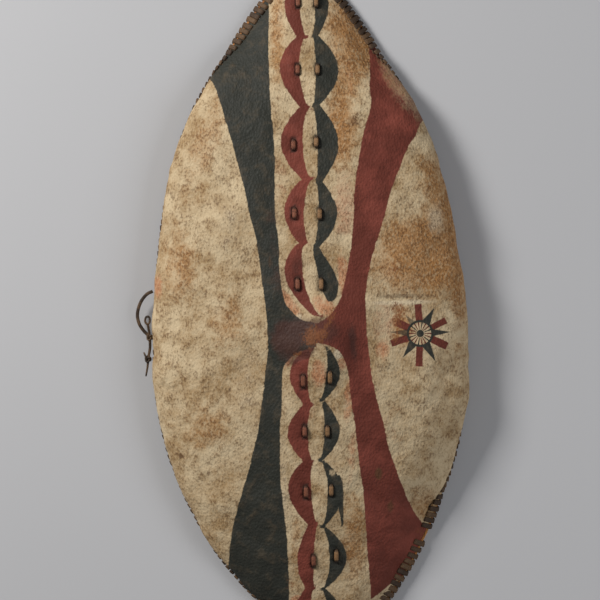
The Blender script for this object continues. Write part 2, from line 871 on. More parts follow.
@dataclass(frozen=True)
class PaintedHide:
    """The finish of the face: rawhide with its hair scraped off, earth colours brushed on, and long use."""

    cream: Colour = tone(206, 184, 148)
    dull: Colour = tone(164, 134, 94)
    ochre: Colour = tone(168, 116, 62)
    umber: Colour = tone(92, 62, 36)
    pink: Colour = tone(196, 142, 112)
    salmon: Colour = tone(196, 124, 86)
    pale: Colour = tone(222, 206, 176)
    maroon: Colour = tone(74, 42, 34)
    rust: Colour = tone(134, 82, 46)
    black: Colour = tone(44, 45, 38)
    worn_black: Colour = tone(72, 64, 50)
    red: Colour = tone(104, 47, 34)
    worn_red: Colour = tone(134, 66, 52)
    grime: Colour = tone(30, 24, 17)
    rosette: Rosette = Rosette()

    def mix(self, bench: Bench) -> bpy.types.Material:
        """Mixes the finish.

        Args:
            bench: Where the layout lies in the frame.

        Returns:
            The material.
        """
        pot = Pot("painted_hide")
        grain = pot.noise(2.8, 3, 0.65, (1, 1.5, 1))
        stipple = pot.pits(3.4, (1, 1.35, 1))
        cloud = pot.noise(55, 5, 0.62)
        drift = pot.noise(16, 4, 0.6, warp=0.4)
        bare = self._bare(pot, grain, stipple, cloud, drift)
        black, red = self._masks(pot, bench, grain, drift)
        painted = self._paint(pot, bare, black, red, grain, drift, cloud)
        stained = self._stains(pot, painted, drift, grain)
        height = grain * 0.5 + stipple * 0.7
        normal = pot.bump(height, 1.0, 1.1)
        normal = pot.bump(drift, 0.8, 2.0, normal)
        rough = 0.62 + grain * 0.3 - black * 0.08
        return pot.fill(stained, rough, normal, Specular_IOR_Level=0.35)

    def _bare(self, pot: Pot, grain: Wire, stipple: Wire, cloud: Wire, drift: Wire) -> Wire:
        """The bare hide: cream, dulled and stained ochre in clouds, pinkish in specks.

        Args:
            pot: The node tree of the finish.
            grain: The fine grain of the hide.
            stipple: The small pits of the hide.
            cloud: The large clouds of tone.
            drift: The middling drifts of tone.

        Returns:
            The bare hide's colour.
        """
        base = pot.blend((cloud + drift * 0.5).ease(0.55, 0.95), self.cream, self.dull)
        ochre = (pot.mark("ochre") + (drift - 0.5) * 0.9 + (cloud - 0.5) * 0.5).ease(0.25, 0.95)
        base = pot.blend(ochre * 0.85, base, self.ochre)
        pink = (pot.mark("pink") + (drift - 0.5) * 1.2).ease(0.3, 1.0)
        base = pot.blend(pink * 0.6, base, self.pink)
        salmon = (pot.mark("salmon") + (drift - 0.5) * 1.3).ease(0.3, 1.0)
        base = pot.blend(salmon * 0.6, base, self.salmon)
        pale = (pot.mark("pale") + (drift - 0.5) * 1.2).ease(0.3, 1.0)
        base = pot.blend(pale * 0.7, base, self.pale)
        specks = (grain + drift * 0.5 + ochre * 0.05).ease(0.74, 0.95)
        base = pot.blend(specks * 0.6, base, self.umber)
        flecks = (stipple * 0.6 + (1.0 - grain) * 0.6).ease(0.6, 0.85)
        return pot.blend(flecks * 0.4, base, self.cream)

    def _masks(self, pot: Pot, bench: Bench, grain: Wire, drift: Wire) -> tuple[Wire, Wire]:
        """Where the black and the red are: the bands, the scallops and the rosette, with brushed edges.

        Args:
            pot: The node tree of the finish.
            bench: Where the layout lies in the frame.
            grain: The fine grain of the hide.
            drift: The middling drifts of tone.

        Returns:
            The black mask and the red mask.
        """
        ragged = (drift - 0.5) * 7.0 + (grain - 0.5) * 3.0
        black_rays, red_rays = self._rosette(pot, bench, ragged * 0.35)
        black = (pot.mark("black") + ragged * 0.6).ease(-0.7, 0.9).most(black_rays)
        red = (pot.mark("red") + ragged * 0.6).ease(-0.7, 0.9).most(red_rays)
        return black, red

    def _rosette(self, pot: Pot, bench: Bench, ragged: Wire) -> tuple[Wire, Wire]:
        """The rosette's black and red masks.

        Args:
            pot: The node tree of the finish.
            bench: Where the layout lies in the frame.
            ragged: How far the brushed edges stray.

        Returns:
            The black mask and the red mask.
        """
        flower = self.rosette
        middle = (bench.shift + np.array([flower.x, flower.y, 0.0])).tolist()
        across, up, _ = pot.parts(pot.vector("SUBTRACT", pot.where, tuple(middle)))
        out = (across * across + up * up) ** 0.5
        spikes = [self._ray(across, up, ragged, ray, True) for ray in flower.spikes]
        bars = [self._ray(across, up, ragged, ray, False) for ray in flower.bars]
        ring = (abs(out - flower.ring) + ragged * 0.4).ease(flower.ring_width + 0.5, flower.ring_width - 0.5)
        hub = (out + ragged * 0.5).ease(flower.hub + 0.6, flower.hub - 0.6)
        bearing = pot.node("ShaderNodeMath", {"operation": "ARCTAN2"}, {0: up, 1: across})
        inside = out.ease(flower.ring, flower.ring - 1.0) * out.ease(flower.hub, flower.hub + 1.5)
        wave = pot.node("ShaderNodeMath", {"operation": "COSINE"}, {0: bearing * 18.0 + ragged * 0.3})
        stroke = wave.ease(0.25, 0.6) * inside
        turn = pot.node("ShaderNodeMath", {"operation": "COSINE"}, {0: bearing * 6.0 + 0.6})
        black = ring.most(hub).most(stroke * turn.ease(-0.2, -0.4))
        red = stroke * turn.ease(-0.4, -0.2)
        for spike in spikes:
            black = black.most(spike)
        for bar in bars:
            red = red.most(bar)
        return black, red

    def _ray(self, across: Wire, up: Wire, ragged: Wire, ray: RosetteRay, pointed: bool) -> Wire:
        """One ray's mask: a blunt bar, or a spike that narrows to its end.

        Args:
            across: How far a place is across from the rosette's middle.
            up: How far it is up from the rosette's middle.
            ragged: How far the brushed edges stray.
            ray: The ray.
            pointed: Whether the ray narrows to its end.

        Returns:
            The ray's mask.
        """
        angle = math.radians(ray.bearing)
        along = across * math.cos(angle) + up * math.sin(angle)
        aside = abs(up * math.cos(angle) - across * math.sin(angle))
        start = self.rosette.ring
        half: Wire | float = ray.half_width
        if pointed:
            half = (ray.reach - along) * (ray.half_width / (ray.reach - start)) + 0.4
            half = half.least(ray.half_width)
        width = (half - aside + ragged).ease(-0.5, 0.7)
        length = (along + ragged).ease(ray.reach + 0.8, ray.reach - 0.8) * along.ease(start - 1.0, start)
        return width * length * (1.0 - ray.worn)

    def _paint(self, pot: Pot, bare: Wire, black: Wire, red: Wire, grain: Wire, drift: Wire,
               cloud: Wire) -> Wire:
        """Lays the two paints over the bare hide, thin where they are worn.

        Args:
            pot: The node tree of the finish.
            bare: The bare hide's colour.
            black: Where the black paint is.
            red: Where the red paint is.
            grain: The fine grain of the hide.
            drift: The middling drifts of tone.
            cloud: The large clouds of tone.

        Returns:
            The painted hide's colour.
        """
        wear = pot.mark("wear")
        thin = (wear + (drift - 0.5) * 1.3 + (grain - 0.5) * 0.9).ease(0.35, 1.1)
        red_paint = pot.blend(cloud.ease(0.4, 0.7), self.red, self.worn_red)
        black_paint = pot.blend(drift.ease(0.45, 0.75), self.black, self.worn_black)
        colour = pot.blend(red * (1.0 - thin * 0.8), bare, red_paint)
        return pot.blend(black * (1.0 - thin * 0.8), colour, black_paint)

    def _stains(self, pot: Pot, colour: Wire, drift: Wire, grain: Wire) -> Wire:
        """Adds the rust, the dark stains and the grime of use.

        Args:
            pot: The node tree of the finish.
            colour: The painted hide's colour.
            drift: The middling drifts of tone.
            grain: The fine grain of the hide.

        Returns:
            The stained hide's colour.
        """
        maroon = (pot.mark("maroon") + (drift - 0.5) * 1.1).ease(0.3, 1.0)
        colour = pot.blend(maroon * 0.75, colour, self.maroon)
        rust = (pot.mark("rust") + (drift - 0.5) * 1.2 + (grain - 0.5) * 2.0).ease(0.4, 1.1)
        colour = pot.blend(rust * 0.75, colour, self.rust)
        dark = (pot.mark("dark") + (drift - 0.5) * 0.7 + (grain - 0.5) * 0.5).ease(0.3, 0.9)
        colour = pot.blend(dark * 0.8, colour, self.umber)
        return pot.blend(pot.mark("grime"), colour, self.grime)


@dataclass(frozen=True)
class RawBack:
    """The finish of the hide's back: plain rawhide, browned, with its veins showing."""

    light: Colour = tone(158, 128, 90)
    brown: Colour = tone(112, 82, 52)
    dark: Colour = tone(72, 52, 34)

    def mix(self) -> bpy.types.Material:
        """Mixes the finish.

        Returns:
            The material.
        """
        pot = Pot("raw_back")
        cloud = pot.noise(70, 5, 0.6)
        fibre = pot.noise(3, 4, 0.6, (1, 5, 1))
        veins = pot.noise(24, 3, 0.5, (1, 2.5, 1), warp=1.4)
        colour = pot.blend(cloud.ease(0.35, 0.65), self.light, self.brown)
        colour = pot.blend(fibre.ease(0.45, 0.7) * 0.5, colour, self.dark)
        colour = pot.blend(abs(veins - 0.5).ease(0.03, 0.0) * 0.35, colour, self.dark)
        colour = pot.blend(pot.mark("grime"), colour, self.dark)
        normal = pot.bump(fibre + veins * 0.8, 0.8, 0.7)
        return pot.fill(colour, 0.72 + fibre * 0.2, normal, Specular_IOR_Level=0.3)


@dataclass(frozen=True)
class ThongHide:
    """The finish of a cut thong: brown hide, glossed with handling, darker at its edges."""

    name: str
    light: Colour
    brown: Colour
    dark: Colour
    reddened: Colour = tone(132, 66, 52)
    gloss: float = 0.55

    def mix(self) -> bpy.types.Material:
        """Mixes the finish.

        Returns:
            The material.
        """
        pot = Pot(self.name)
        fibre = pot.noise(1.6, 4, 0.65)
        cloud = pot.noise(14, 3, 0.6)
        shade = pot.mark("shade")
        colour = pot.blend((shade + (cloud - 0.5) * 0.9).ease(0.1, 0.9), self.brown, self.light)
        colour = pot.blend(pot.mark("tint") * 0.7, colour, self.reddened)
        colour = pot.blend(fibre.ease(0.48, 0.68) * 0.7, colour, self.dark)
        colour = pot.blend(pot.mark("grime"), colour, self.dark)
        normal = pot.bump(fibre + cloud, 0.8, 0.6)
        return pot.fill(colour, self.gloss + fibre * 0.3, normal, Specular_IOR_Level=0.4)


@dataclass(frozen=True)
class Wood:
    """The finish of a whittled branch: long grain, darkened by hands and smoke."""

    name: str
    light: Colour
    brown: Colour
    dark: Colour
    gloss: float = 0.5

    def mix(self) -> bpy.types.Material:
        """Mixes the finish.

        Returns:
            The material.
        """
        pot = Pot(self.name)
        grain = pot.noise(2.4, 4, 0.6, (1, 14, 1), warp=0.3)
        cloud = pot.noise(40, 3, 0.55, (1, 3, 1))
        colour = pot.blend(cloud.ease(0.35, 0.65), self.light, self.brown)
        colour = pot.blend(grain.ease(0.5, 0.68) * 0.7, colour, self.dark)
        normal = pot.bump(grain, 0.7, 0.5)
        return pot.fill(colour, self.gloss + grain * 0.3, normal, Specular_IOR_Level=0.4)


LACING_HIDE = ThongHide("lacing_hide", tone(104, 78, 52), tone(64, 46, 30), tone(26, 18, 12))
STITCH_HIDE = ThongHide("stitch_hide", tone(142, 106, 70), tone(92, 68, 44), tone(32, 24, 16))
CARRYING_HIDE = ThongHide("carrying_hide", tone(96, 74, 52), tone(58, 44, 31), tone(22, 16, 11))
STAVE_WOOD = Wood("stave_wood", tone(128, 92, 56), tone(88, 60, 36), tone(44, 29, 18))
ROD_WOOD = Wood("rod_wood", tone(186, 124, 62), tone(146, 92, 44), tone(84, 52, 26))


# ---------------------------------------------------------------- the lashings' places


@dataclass(frozen=True)
class Lashing:
    """One lashing: the heights of its left and right stitches, where they stand, and their length."""

    y: tuple[float, float]
    x: tuple[float, float]
    length: float

    def ends(self) -> list[tuple[float, float]]:
        """Where it passes through the hide: left upper, left lower, right lower, right upper."""
        half = self.length / 2
        return [(self.x[0], self.y[0] + half), (self.x[0], self.y[0] - half),
                (self.x[1], self.y[1] - half), (self.x[1], self.y[1] + half)]


LASHINGS = (
    Lashing((443, 443), (-21, 5), 18),
    Lashing((343, 343), (-21.5, 7), 16),
    Lashing((234, 238), (-27.5, 5), 16),
    Lashing((136, 135), (-26, 10), 17),
    Lashing((35, 35), (-21.5, 12), 18),
    Lashing((-103, -98), (-13.5, 24.5), 19),
    Lashing((-175, -175), (-11.5, 21), 17),
    Lashing((-262, -260), (-9.5, 26.5), 18),
    Lashing((-362, -355), (1.5, 34), 18),
    Lashing((-448, -446), (2, 32), 17),
)


# ---------------------------------------------------------------- the hide


@dataclass(frozen=True)
class Patch:
    """A soft-edged patch of a stain: its place, its half sizes, its slant in degrees and its strength."""

    x: float
    y: float
    across: float
    up: float
    slant: float = 0.0
    strength: float = 1.0

    def at(self, x: Points, y: Points) -> Points:
        """The stain's strength at places in plan.

        Args:
            x: Places across the shield.
            y: Places up the shield.

        Returns:
            The strength at each place.
        """
        turn = math.radians(self.slant)
        dx, dy = x - self.x, y - self.y
        across = (dx * math.cos(turn) + dy * math.sin(turn)) / self.across
        up = (dy * math.cos(turn) - dx * math.sin(turn)) / self.up
        return self.strength * np.exp(-((across**2 + up**2) ** 1.4))


class Stain(Enum):
    """The kinds of stain and wear on the face."""

    OCHRE = "ochre"
    PINK = "pink"
    SALMON = "salmon"
    MAROON = "maroon"
    RUST = "rust"
    DARK = "dark"
    PALE = "pale"
    WEAR = "wear"


PATCHES: dict[Stain, tuple[Patch, ...]] = {
    Stain.OCHRE: (
        Patch(60, 400, 45, 100, 0, 1.0), Patch(38, 250, 28, 60, 0, 0.9), Patch(-50, 400, 14, 120, 0, 0.7),
        Patch(150, 75, 75, 62, 5, 1.1), Patch(190, 180, 40, 60, 20, 0.8), Patch(212, 20, 18, 120, 0, 0.6),
        Patch(-150, 240, 26, 90, -22, 0.6), Patch(-190, 60, 34, 70, 0, 0.6), Patch(-120, -20, 34, 60, 0, 0.55),
        Patch(-150, -170, 44, 50, 0, 0.5), Patch(60, -330, 22, 80, 0, 0.7), Patch(-24, -340, 12, 60, 0, 0.6),
        Patch(128, -28, 18, 30, 0, 1.0), Patch(160, -290, 30, 50, 0, 0.6), Patch(-30, 130, 10, 60, 0, 0.5),
    ),
    Stain.PINK: (
        Patch(46, 150, 22, 60, 0, 0.8), Patch(-46, 190, 14, 60, 0, 0.5), Patch(100, -20, 24, 40, 0, 0.7),
        Patch(110, -180, 30, 60, 0, 0.4), Patch(-2, -150, 8, 20, 0, 0.5),
    ),
    Stain.SALMON: (
        Patch(44, 45, 9, 42, 6, 1.1), Patch(-36, 10, 9, 30, 40, 1.2), Patch(16, 4, 20, 13, -38, 1.2),
        Patch(51, -130, 8, 42, -6, 0.9), Patch(56, -215, 8, 50, -4, 0.7), Patch(9, -92, 12, 22, 0, 1.2),
        Patch(-36, -74, 7, 16, -24, 1.0), Patch(-222, 32, 9, 20, 0, 1.0), Patch(100, -58, 12, 18, 0, 0.9),
        Patch(-21, -418, 13, 6, 0, 1.2), Patch(52, 330, 10, 30, 0, 0.5), Patch(42, -78, 8, 12, 0, 0.9),
    ),
    Stain.MAROON: (
        Patch(2, -32, 46, 24, 0, 1.1), Patch(-40, -52, 22, 38, 14, 0.9), Patch(-45, 42, 20, 30, 0, 0.55),
        Patch(-58, 110, 14, 50, 0, 0.5), Patch(58, -50, 6, 30, 4, 1.1), Patch(-12, -66, 18, 7, 24, 1.0),
        Patch(80, 300, 26, 30, 0, 0.4), Patch(-20, 66, 12, 26, 0, 0.5),
    ),
    Stain.RUST: (
        Patch(2, -40, 20, 17, 24, 1.1), Patch(26, -12, 6, 20, -20, 0.9), Patch(-22, -66, 12, 5, 24, 0.9),
        Patch(122, -8, 12, 22, 0, 0.9), Patch(118, -42, 9, 14, 0, 0.8), Patch(140, 338, 16, 60, 38, 0.8),
        Patch(112, 56, 14, 20, 0, 0.7), Patch(-30, -398, 10, 8, 0, 0.7), Patch(160, -330, 10, 20, 30, 0.6),
    ),
    Stain.DARK: (
        Patch(94, -236, 6, 10, 0, 1.1), Patch(112, -284, 7, 12, 0, 0.8), Patch(-118, -115, 2.6, 3.2, 0, 1.6),
        Patch(-189, -212, 4, 4, 0, 1.0), Patch(-149, -237, 4, 5, 0, 0.9), Patch(153, -170, 3, 3, 0, 0.8),
        Patch(-100, 60, 20, 60, 0, 0.3), Patch(60, 270, 16, 14, 0, 0.6), Patch(128, 18, 60, 4, 1, 0.7),
        Patch(-60, 65, 5, 12, 0, 0.7),
    ),
    Stain.PALE: (
        Patch(128, 9, 62, 5, 1, 0.9), Patch(36, -64, 7, 9, -30, 1.4), Patch(-23, -66, 4, 5, 0, 1.3),
        Patch(-87, 186, 2.4, 2.4, 0, 1.8), Patch(176, 128, 16, 28, 10, 0.8), Patch(-120, 120, 30, 60, 0, 0.5),
        Patch(-96, -100, 24, 80, 0, 0.5), Patch(-42, -250, 8, 90, 0, 0.6), Patch(98, -120, 12, 70, 10, 0.5),
        Patch(-19, -12, 5, 6, 0, 1.2), Patch(-46, 420, 6, 20, 0, 0.6), Patch(100, -330, 12, 50, 24, 0.5),
    ),
    Stain.WEAR: (
        Patch(132, 320, 26, 70, 34, 0.9), Patch(28, -234, 5, 5, 0, 1.6), Patch(10, 2, 16, 16, 0, 0.5),
        Patch(-150, 380, 30, 40, 0, 0.25), Patch(-90, -300, 26, 60, 0, 0.25), Patch(145, -38, 14, 14, 0, 0.4),
    ),
}


@dataclass(frozen=True)
class Crease:
    """A fold line in the hide: where it starts and ends, how deep it is and how wide."""

    start: tuple[float, float]
    end: tuple[float, float]
    depth: float
    width: float

    def at(self, x: Points, y: Points) -> Points:
        """How deep the fold is at places in plan.

        Args:
            x: Places across the shield.
            y: Places up the shield.

        Returns:
            The depth at each place.
        """
        (ax, ay), (bx, by) = self.start, self.end
        dx, dy = bx - ax, by - ay
        share = np.clip(((x - ax) * dx + (y - ay) * dy) / (dx * dx + dy * dy), 0, 1)
        away = np.hypot(x - ax - share * dx, y - ay - share * dy)
        return self.depth * np.exp(-((away / self.width) ** 2)) * np.sin(math.pi * share.clip(0.06, 0.94))


CREASES = (
    Crease((76, 16), (188, 13), 1.8, 4.0), Crease((-92, 175), (-88, 80), 1.2, 4.0),
    Crease((-34, -66), (-6, -72), 2.2, 3.5), Crease((4, -16), (22, -14), 1.6, 3.5),
    Crease((52, -20), (60, -84), 2.0, 5.0), Crease((-40, 20), (-24, -10), 1.0, 4.0),
    Crease((90, 250), (150, 262), 1.2, 5.0), Crease((40, 262), (76, 300), -0.9, 5.0),
    Crease((96, -60), (120, -120), -0.9, 7.0), Crease((-150, -20), (-110, -90), -0.8, 9.0),
)

# A run of thin black paint below the third crescent of the lower chain.
DRIP = ((37, -236), (43.5, -254), (43.6, -283), (44.2, -309), (42.2, -315.5), (40.7, -309), (39.7, -297),
        (36.4, -284), (34, -262))


@dataclass
class HidePanel:
    """The hide: one dense closed skin, painted on its face and raw behind."""

    form: HideForm
    rows: int = 300
    columns: int = 150
    crowding: float = 0.32
    swell: float = 1.1
    pucker: float = 1.6
    pucker_width: float = 5.0
    pucker_lip: float = 0.5
    grime_reach: float = 3.4
    grime_edge: float = 2.6
    tip_inset: float = 1.5
    mark_reach: float = 40.0
    waves: tuple[Ripple, ...] = field(default_factory=lambda: (Ripple(11, 95.0), Ripple(12, 34.0)))

    def grid(self) -> tuple[Points, Points]:
        """Heights up the shield for each row, and shares across it for each column, closest in the middle."""
        y = np.linspace(self.form.low_tip[1] + self.tip_inset, self.form.top_tip[1] - self.tip_inset,
                        self.rows + 1)
        even = np.linspace(-1, 1, self.columns + 1)
        v = lerp(even, even * np.abs(even), self.crowding)
        return np.meshgrid(y, v, indexing="ij")

    def build(self, bench: Bench) -> bpy.types.Object:
        """Builds the hide as one closed skin.

        Args:
            bench: Where the layout lies in the frame.

        Returns:
            The hide, with its marks stored for its finishes.
        """
        y, v = self.grid()
        face = self.form.front(y, v)
        normal = self.normals(face)
        back = face - normal * self.form.thickness
        front = face + normal * self.relief(face, v)[..., None]
        points, faces, on_back = self._skin(front, back)
        piece = bench.make("hide_face", points, faces)
        self._store_marks(piece, points)
        piece.data.materials.append(PaintedHide().mix(bench))
        piece.data.materials.append(RawBack().mix())
        piece.data.polygons.foreach_set("material_index", on_back)
        return piece

    @staticmethod
    def normals(face: Points) -> Points:
        """The outward way at each corner of the face's grid."""
        up = np.gradient(face, axis=0)
        across = np.gradient(face, axis=1)
        return unit(np.cross(across, up))

    def relief(self, face: Points, v: Points) -> Points:
        """How far the worked hide stands off its form: waves, creases and puckers at the stitches.

        Args:
            face: The corners of the plain form.
            v: Their shares across the shield.

        Returns:
            How far each corner stands off.
        """
        x, y = face[..., 0], face[..., 1]
        calm = ease(np.abs(v), 1.0, 0.9)
        rise = self.swell * self.waves[0].at(x, y) + 0.3 * self.swell * self.waves[1].at(x, y)
        for lashing in LASHINGS:
            for end_x, end_y in lashing.ends():
                away = np.hypot(x - end_x, y - end_y)
                dip = np.exp(-((away / self.pucker_width) ** 2))
                lip = np.exp(-(((away - 2 * self.pucker_width) / self.pucker_width) ** 2))
                rise = rise - self.pucker * dip + self.pucker_lip * lip
        rise = rise - sum(crease.at(x, y) for crease in CREASES)
        return rise * calm

    def _skin(self, front: Points, back: Points) -> tuple[Points, list[list[int]], list[int]]:
        """Joins the two layers at the edge and at the tips.

        Args:
            front: The corners of the face.
            back: The corners of the back.

        Returns:
            The corners, the faces, and 1 for each face on the back or the edge.
        """
        rows, columns = self.rows, self.columns
        wide = columns + 1
        layer = (rows + 1) * wide
        (low_x, low_y), (top_x, top_y) = self.form.low_tip, self.form.top_tip
        reach, height = self.form.lacing_reach, self.form.edge_height
        tips = np.array([
            [low_x, low_y + reach, height], [low_x, low_y + reach, height - self.form.thickness],
            [top_x, top_y - reach, height], [top_x, top_y - reach, height - self.form.thickness],
        ])
        points = np.concatenate([front.reshape(-1, 3), back.reshape(-1, 3), tips])
        i, j = (part.ravel() for part in np.meshgrid(np.arange(rows), np.arange(columns), indexing="ij"))
        near, far = i * wide + j, (i + 1) * wide + j
        face = np.stack([near, near + 1, far + 1, far], -1)
        behind = layer + face[:, ::-1]
        edges = []
        for column, turned in ((0, False), (columns, True)):
            run = np.arange(rows) * wide + column
            strip = np.stack([run, run + wide, run + wide + layer, run + layer], -1)
            edges.append(strip[:, ::-1] if turned else strip)
        edges = np.concatenate(edges)
        faces = np.concatenate([face, behind, edges]).tolist()
        on_back = [0] * len(face) + [1] * len(behind) + [1] * len(edges)
        low_face, low_back, top_face, top_back = range(2 * layer, 2 * layer + 4)
        ends = ((low_face, low_back, 0, False), (top_face, top_back, rows, True))
        for tip_face, tip_back, row, turned in ends:
            first, last = row * wide, row * wide + columns
            fans = [[tip_face, k + 1, k] for k in range(first, last)]
            under = [[tip_back, layer + k, layer + k + 1] for k in range(first, last)]
            sides = [[tip_face, first, layer + first, tip_back], [tip_back, layer + last, last, tip_face]]
            whole = fans + under + sides
            faces += [part[::-1] for part in whole] if turned else whole
            on_back += [0] * len(fans) + [1] * (len(under) + 2)
        return points, faces, on_back

    def _store_marks(self, piece: bpy.types.Object, points: Points) -> None:
        """Stores where the paints, the stains and the grime are.

        Args:
            piece: The hide.
            points: Its corners in the layout.
        """
        x, y = points[:, 0], points[:, 1]
        red = np.maximum.reduce([RED_BAND.distance(x, y), *(run.distance(x, y) for run in RED_SCALLOPS)])
        black = np.maximum.reduce([BLACK_BAND.distance(x, y), *(run.distance(x, y) for run in BLACK_SCALLOPS),
                                    signed_distance(x, y, smooth_run(DRIP, 3, True))])
        mark(piece, "red", np.clip(red, -self.mark_reach, self.mark_reach))
        mark(piece, "black", np.clip(black, -self.mark_reach, self.mark_reach))
        for stain, patches in PATCHES.items():
            mark(piece, stain.value, np.minimum(sum(patch.at(x, y) for patch in patches), 1.0))
        mark(piece, "grime", self.grime(x, y))

    def grime(self, x: Points, y: Points) -> Points:
        """How dark the hide is round its holes.

        Args:
            x: Places across the shield.
            y: Places up the shield.

        Returns:
            The darkness at each place, 0 to 1.
        """
        dark = np.zeros(x.shape)
        for lashing in LASHINGS:
            for stitch_x, stitch_y in zip(lashing.x, lashing.y):
                past_end = np.maximum(np.abs(y - stitch_y) - lashing.length / 2 + 1.5, 0)
                away = np.hypot(x - stitch_x, past_end)
                dark = np.maximum(dark, ease(away, self.grime_reach + self.grime_edge, self.grime_reach))
        return dark * 0.9


# ---------------------------------------------------------------- the rim


@dataclass
class Rim:
    """The run of the hide's edge, as even stations with the ways along, out and up."""

    panel: HidePanel
    step: float = 1.5

    def __post_init__(self) -> None:
        """Walks the edge anticlockwise from the lower tip."""
        form = self.panel.form
        y, v = self.panel.grid()
        face = form.front(y, v)
        middle = face - self.panel.normals(face) * form.thickness / 2
        low, top = form.low_tip, form.top_tip
        reach, height = form.lacing_reach, form.edge_height - form.thickness / 2
        tips = np.array([[low[0], low[1] + reach, height], [top[0], top[1] - reach, height]])
        centre = self.panel.columns // 2
        line = np.concatenate([tips[:1], middle[:, -1], tips[1:], middle[::-1, 0]])
        inward = np.concatenate([middle[:1, centre], middle[:, -4], middle[-1:, centre], middle[::-1, 3]])
        steps = np.linalg.norm(np.diff(line, axis=0, append=line[:1]), axis=1)
        length = np.concatenate([[0], np.cumsum(steps)])
        self.round = float(length[-1])
        count = int(self.round / self.step)
        self.at = self._even(line, length, count)
        self.along = unit(np.roll(self.at, -2, 0) - np.roll(self.at, 2, 0))
        out = self._even(unit(line - inward), length, count)
        out = self._calm(out, 9)
        out = out - np.sum(out * self.along, -1, keepdims=True) * self.along
        self.out = unit(out)
        self.up = np.cross(self.out, self.along)
        self.count = count

    @staticmethod
    def _even(values: Points, length: Points, count: int) -> Points:
        """Reads values along the run at even steps."""
        places = np.linspace(0, length[-1], count, endpoint=False)
        loop = np.concatenate([values, values[:1]])
        return np.stack([np.interp(places, length, loop[:, k]) for k in range(3)], -1)

    @staticmethod
    def _calm(values: Points, reach: int) -> Points:
        """Evens out values round the loop."""
        total = sum(np.roll(values, k, 0) for k in range(-reach, reach + 1))
        return total / (2 * reach + 1)

    def frame_at(self, place: Points) -> tuple[Points, Points, Points, Points]:
        """The stations nearest to places along the run, in millimetres."""
        index = np.round(np.asarray(place) / self.round * self.count).astype(int) % self.count
        return self.at[index], self.along[index], self.out[index], self.up[index]


@dataclass
class RimRod:
    """The slim rod that the edge is laced to."""

    radius: float = 2.4
    out: float = 3.7
    sides: int = 10
    stride: int = 2

    def build(self, bench: Bench, rim: Rim) -> bpy.types.Object:
        """Builds the rod as one closed ring.

        Args:
            bench: Where the layout lies in the frame.
            rim: The run of the hide's edge.

        Returns:
            The rod.
        """
        path = (rim.at + rim.out * self.out)[:: self.stride]
        wobble = Ripple(31, 60.0)
        swell = 1 + 0.05 * wobble.at(path[:, 0], path[:, 1])
        section = oval(2 * self.radius, 2 * self.radius, self.sides, 2.0)
        points, faces = sweep(path, section, rim.out[0], True, swell)
        return bench.make("rim_rod_wood", points, faces)


@dataclass
class RimLacing:
    """The thong that laces the edge to the rod: one flat turn after another, each a little slanted."""

    pitch: float = 9.4
    width: float = 7.9
    thick: float = 2.1
    slant: float = 4.2
    stations: int = 15
    sides: int = 8
    break_y: float = -326.0
    break_length: float = 14.0
    turn: tuple[tuple[float, float], ...] = (
        (-11.2, 0.6), (-10.8, 3.5), (-5.2, 4.3), (1.2, 4.9), (6.0, 4.4), (9.0, 2.2), (9.4, -0.6),
        (7.6, -3.2), (3.6, -4.2), (-2.5, -4.2), (-9.0, -3.7), (-11.2, -0.4),
    )

    def build(self, bench: Bench, rim: Rim) -> bpy.types.Object:
        """Builds every turn of the thong.

        Args:
            bench: Where the layout lies in the frame.
            rim: The run of the hide's edge.

        Returns:
            The lacing, as one mesh of closed turns.
        """
        chance = random.Random(7)
        count = round(rim.round / self.pitch)
        run = smooth_run(self.turn, 4)
        pick = np.linspace(0, len(run) - 1, self.stations).astype(int)
        section = oval(self.width, self.thick, self.sides, 3.0)
        parts, shades = [], []
        for i in range(count):
            place = (i + 0.5) * rim.round / count + chance.uniform(-0.7, 0.7)
            at, along, out, up = rim.frame_at(place)
            size, lean, shade = chance.uniform(0.9, 1.08), chance.uniform(0.7, 1.3), chance.uniform(0, 1)
            if at[0] > 0 and abs(at[1] - self.break_y) < self.break_length / 2 - 2:
                continue
            path = self._path(run[pick], at, along, out, up, self.slant * lean, chance)
            points, faces = sweep(path, section * size, along)
            parts.append((points, faces))
            shades.append(np.full(len(points), shade))
        points, faces = join(parts)
        points[:, 2] = np.maximum(points[:, 2], 0.2 - bench.shift[2])
        piece = bench.make("rim_lacing", points, faces)
        mark(piece, "shade", np.concatenate(shades))
        mark(piece, "grime", np.zeros(len(points)))
        return piece

    @staticmethod
    def _path(run: Points, at: Points, along: Points, out: Points, up: Points, slant: float,
              chance: random.Random) -> Points:
        """One turn's middle line, from its hole in the face round to its hole behind.

        Args:
            run: The turn's points, out and up.
            at: The place on the edge.
            along: The way along the edge.
            out: The way out from it.
            up: The way up from it.
            slant: How far the turn's end runs on along the edge.
            chance: Where the small differences come from.

        Returns:
            The turn's points.
        """
        lift = 1 + chance.uniform(-0.05, 0.03)
        share = np.linspace(-0.5, 0.5, len(run))[:, None]
        return at + out * run[:, :1] * lift + up * run[:, 1:] * lift + along * share * slant


# ---------------------------------------------------------------- the stave and its lashings


